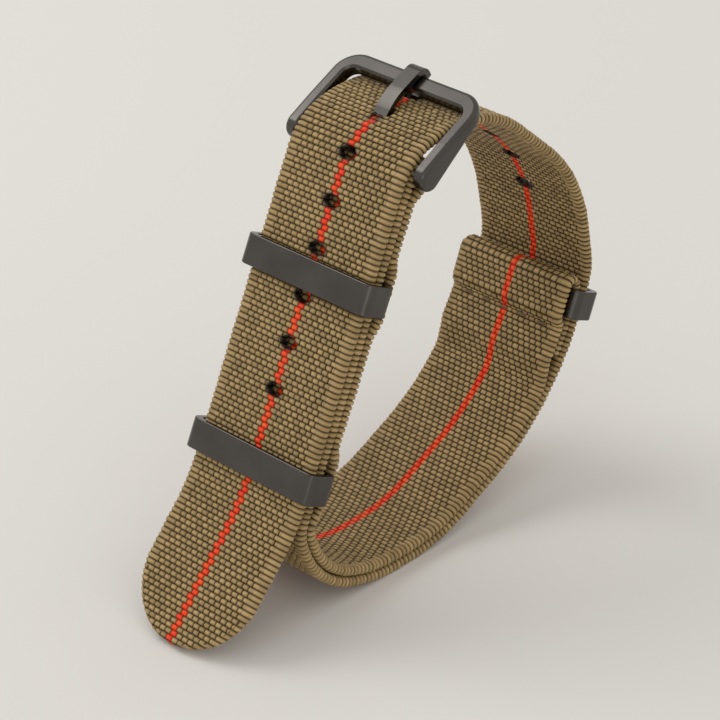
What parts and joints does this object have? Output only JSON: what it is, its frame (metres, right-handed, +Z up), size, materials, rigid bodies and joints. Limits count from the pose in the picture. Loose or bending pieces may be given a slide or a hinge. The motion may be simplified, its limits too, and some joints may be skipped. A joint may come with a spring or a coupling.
{
  "type": "watch strap",
  "caption": "Woven pull-through watch strap closed into a wrist loop, with metal keepers, a pin buckle and an end ring holding the inner strap.",
  "frame": {"origin": "on the rest plane, under the middle of the strap's length and width", "axes": "+X across the strap, +Y from the tail's tip towards the back of the wrist loop, +Z up"},
  "size_m": [0.0246, 0.0745, 0.0679],
  "materials": {
    "webbing": "coarse basket-woven khaki webbing with a red stripe down the middle",
    "hardware": "dark satin gunmetal",
    "spring_bar": "turned bright steel",
    "thread": "twisted khaki sewing thread"
  },
  "bodies": {
    "strap": {"main_strap": "webbing", "short_strap": "webbing", "buckle_fold_stitches": "thread", "upper_pocket_stitches": "thread", "lower_pocket_stitches": "thread", "short_strap_stitches": "thread", "ring_fold_stitches": "thread"},
    "upper_keeper": {"upper_keeper": "hardware"},
    "lower_keeper": {"lower_keeper": "hardware"},
    "end_ring": {"end_ring": "hardware"},
    "buckle_frame": {"buckle_frame": "hardware"},
    "buckle_tang": {"buckle_tang": "hardware"},
    "spring_bar": {"spring_bar_tube": "spring_bar", "spring_bar_spring": "spring_bar"},
    "left_pin": {"spring_bar_left_pin": "spring_bar"},
    "right_pin": {"spring_bar_right_pin": "spring_bar"}
  },
  "joints": [
    {"name": "frame_swing", "type": "hinge", "parent": "strap", "child": "buckle_frame", "pos_m": [0, 0.00099, 0.05887], "axis": [1, 0, 0], "range_deg": [-0.6, 1]},
    {"name": "tang_swing", "type": "hinge", "parent": "strap", "child": "buckle_tang", "pos_m": [0, 0.00099, 0.05887], "axis": [1, 0, 0], "range_deg": [-0.5, 2]},
    {"name": "upper_keeper_slide", "type": "slide", "parent": "strap", "child": "upper_keeper", "axis": [0, 0.4226, 0.9063], "range_m": [-0.0007, 0.0007]},
    {"name": "lower_keeper_slide", "type": "slide", "parent": "strap", "child": "lower_keeper", "axis": [0, 0.4226, 0.9063], "range_m": [-0.0007, 0.0007]},
    {"name": "end_ring_slide", "type": "slide", "parent": "strap", "child": "end_ring", "axis": [0, 0.3856, 0.9227], "range_m": [-0.00015, 0.0003]},
    {"name": "spring_bar_spin", "type": "hinge", "parent": "strap", "child": "spring_bar", "pos_m": [0, 0.00099, 0.05887], "axis": [1, 0, 0], "continuous": true},
    {"name": "left_pin_press", "type": "slide", "parent": "spring_bar", "child": "left_pin", "axis": [1, 0, 0], "range_m": [0, 0.00105], "stiffness_N_per_m": 1500, "springref_m": -0.001, "deforming": ["spring_bar_spring"]},
    {"name": "right_pin_press", "type": "slide", "parent": "spring_bar", "child": "right_pin", "axis": [-1, 0, 0], "range_m": [0, 0.00105], "stiffness_N_per_m": 1500, "springref_m": -0.001, "deforming": ["spring_bar_spring"]}
  ]
}
